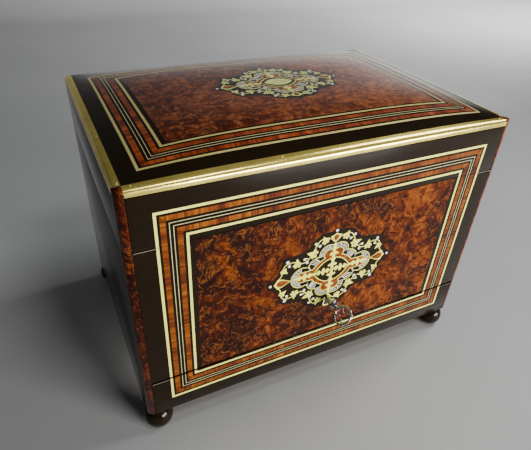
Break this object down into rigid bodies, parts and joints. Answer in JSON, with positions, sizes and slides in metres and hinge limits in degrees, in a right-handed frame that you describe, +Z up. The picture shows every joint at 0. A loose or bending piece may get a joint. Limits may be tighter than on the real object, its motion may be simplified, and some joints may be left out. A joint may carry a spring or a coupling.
{
  "type": "wind-up music box",
  "caption": "Veneered casket with a domed brass-edged lid, a lockable fall front and a wind-up cylinder musical movement behind them.",
  "frame": {"origin": "centre of the bounding box on the plane that the feet stand on", "axes": "+X to the right along the front, +Y to the back, +Z up; the key and the fall front face -Y"},
  "size_m": [0.334, 0.2682, 0.2536],
  "materials": {
    "burl_veneer": "polished burl veneer",
    "ebonised_wood": "black polished wood",
    "pine": "plain planed wood",
    "marquetry": "inlay of brass, pearl and stained veneer",
    "brass": "polished, slightly aged",
    "steel": "polished steel",
    "cast_iron": "dark painted casting",
    "spring_steel": "blued spring band",
    "glass": "clear flat pane"
  },
  "bodies": {
    "case": {"bottom_board": "pine", "sound_board": "pine", "front_sill": "ebonised_wood", "case_back": "ebonised_wood", "side_left": "ebonised_wood", "side_right": "ebonised_wood", "corner_post_left": "burl_veneer", "corner_post_right": "burl_veneer", "foot_front_left": "ebonised_wood", "foot_front_right": "ebonised_wood", "foot_rear_left": "ebonised_wood", "foot_rear_right": "ebonised_wood", "dust_cover_frame": "ebonised_wood", "dust_cover_glass": "glass", "lid_hinge_fixed_left": "brass", "lid_hinge_fixed_right": "brass", "bedplate": "cast_iron", "left_standard": "brass", "barrel_standard": "brass", "right_standard": "brass", "governor_frame": "brass", "comb_base": "brass", "comb": "steel"},
    "lid": {"lid_top": "burl_veneer", "lid_medallion": "marquetry", "lid_front": "ebonised_wood", "lid_back": "ebonised_wood", "lid_left": "ebonised_wood", "lid_right": "ebonised_wood", "lid_corner_left": "burl_veneer", "lid_corner_right": "burl_veneer", "edging_front": "brass", "edging_left": "brass", "edging_right": "brass", "lid_striker": "brass", "lid_hinge_moving_left": "brass", "lid_hinge_moving_right": "brass"},
    "fall_front": {"fall_front_panel": "burl_veneer", "front_medallion": "marquetry", "fall_front_pivot_left": "brass", "fall_front_pivot_right": "brass", "lock_case": "steel"},
    "key": {"key": "steel"},
    "lock_bolt": {"lock_bolt": "steel"},
    "cylinder": {"tune_cylinder": "brass", "cylinder_arbor": "steel", "great_wheel": "brass"},
    "barrel": {"spring_barrel": "brass", "barrel_cover": "brass", "mainspring": "spring_steel"},
    "governor": {"governor_arbor": "steel", "worm_wheel": "brass"},
    "fly": {"worm_arbor": "steel", "fly": "brass"},
    "winding": {"winding_arbor": "steel", "ratchet_wheel": "steel"},
    "lever": {"winding_lever": "brass", "lever_knob": "ebonised_wood"},
    "click": {"click": "steel"},
    "start_lever": {"start_lever": "brass"}
  },
  "joints": [
    {"name": "lid_hinge", "type": "hinge", "parent": "case", "child": "lid", "pos_m": [0, 0.13265, 0.1955], "axis": [-1, 0, 0], "range_deg": [0, 100]},
    {"name": "fall_front_hinge", "type": "hinge", "parent": "case", "child": "fall_front", "pos_m": [0, -0.09515, 0.065], "axis": [1, 0, 0], "range_deg": [0, 90]},
    {"name": "key_turn", "type": "hinge", "parent": "fall_front", "child": "key", "pos_m": [0, -0.09815, 0.101], "axis": [0, 1, 0], "range_deg": [0, 90]},
    {"name": "bolt_slide", "type": "slide", "parent": "fall_front", "child": "lock_bolt", "axis": [0.7071, 0, 0.7071], "range_m": [0, 0.01]},
    {"name": "cylinder_turn", "type": "hinge", "parent": "case", "child": "cylinder", "pos_m": [0, 0.01635, 0.099], "axis": [1, 0, 0], "continuous": true},
    {"name": "barrel_turn", "type": "hinge", "parent": "case", "child": "barrel", "pos_m": [0, 0.0501, 0.099], "axis": [1, 0, 0], "continuous": true},
    {"name": "governor_turn", "type": "hinge", "parent": "case", "child": "governor", "pos_m": [0, 0.04785, 0.099], "axis": [1, 0, 0], "continuous": true},
    {"name": "fly_turn", "type": "hinge", "parent": "case", "child": "fly", "pos_m": [0.104, 0.05945, 0.099], "axis": [0, 0, 1], "continuous": true},
    {"name": "winding_turn", "type": "hinge", "parent": "case", "child": "winding", "pos_m": [0, 0.0501, 0.099], "axis": [1, 0, 0], "range_deg": [-15, 45]},
    {"name": "lever_swing", "type": "hinge", "parent": "case", "child": "lever", "pos_m": [0, 0.0501, 0.099], "axis": [1, 0, 0], "range_deg": [-15, 45]},
    {"name": "click_lift", "type": "hinge", "parent": "case", "child": "click", "pos_m": [0, 0.0331, 0.108], "axis": [1, 0, 0], "range_deg": [0, 20]},
    {"name": "start_lever_swing", "type": "hinge", "parent": "case", "child": "start_lever", "pos_m": [0.106, -0.03565, 0.08], "axis": [0, 0, 1], "range_deg": [-12, 12]}
  ],
  "couplings": [
    {"joint": "key_turn", "follows": "bolt_slide", "rad_per_m": 157.08},
    {"joint": "barrel_turn", "follows": "cylinder_turn", "ratio": -0.25},
    {"joint": "governor_turn", "follows": "cylinder_turn", "ratio": -6},
    {"joint": "fly_turn", "follows": "cylinder_turn", "ratio": 144},
    {"joint": "winding_turn", "follows": "lever_swing", "ratio": 1}
  ]
}
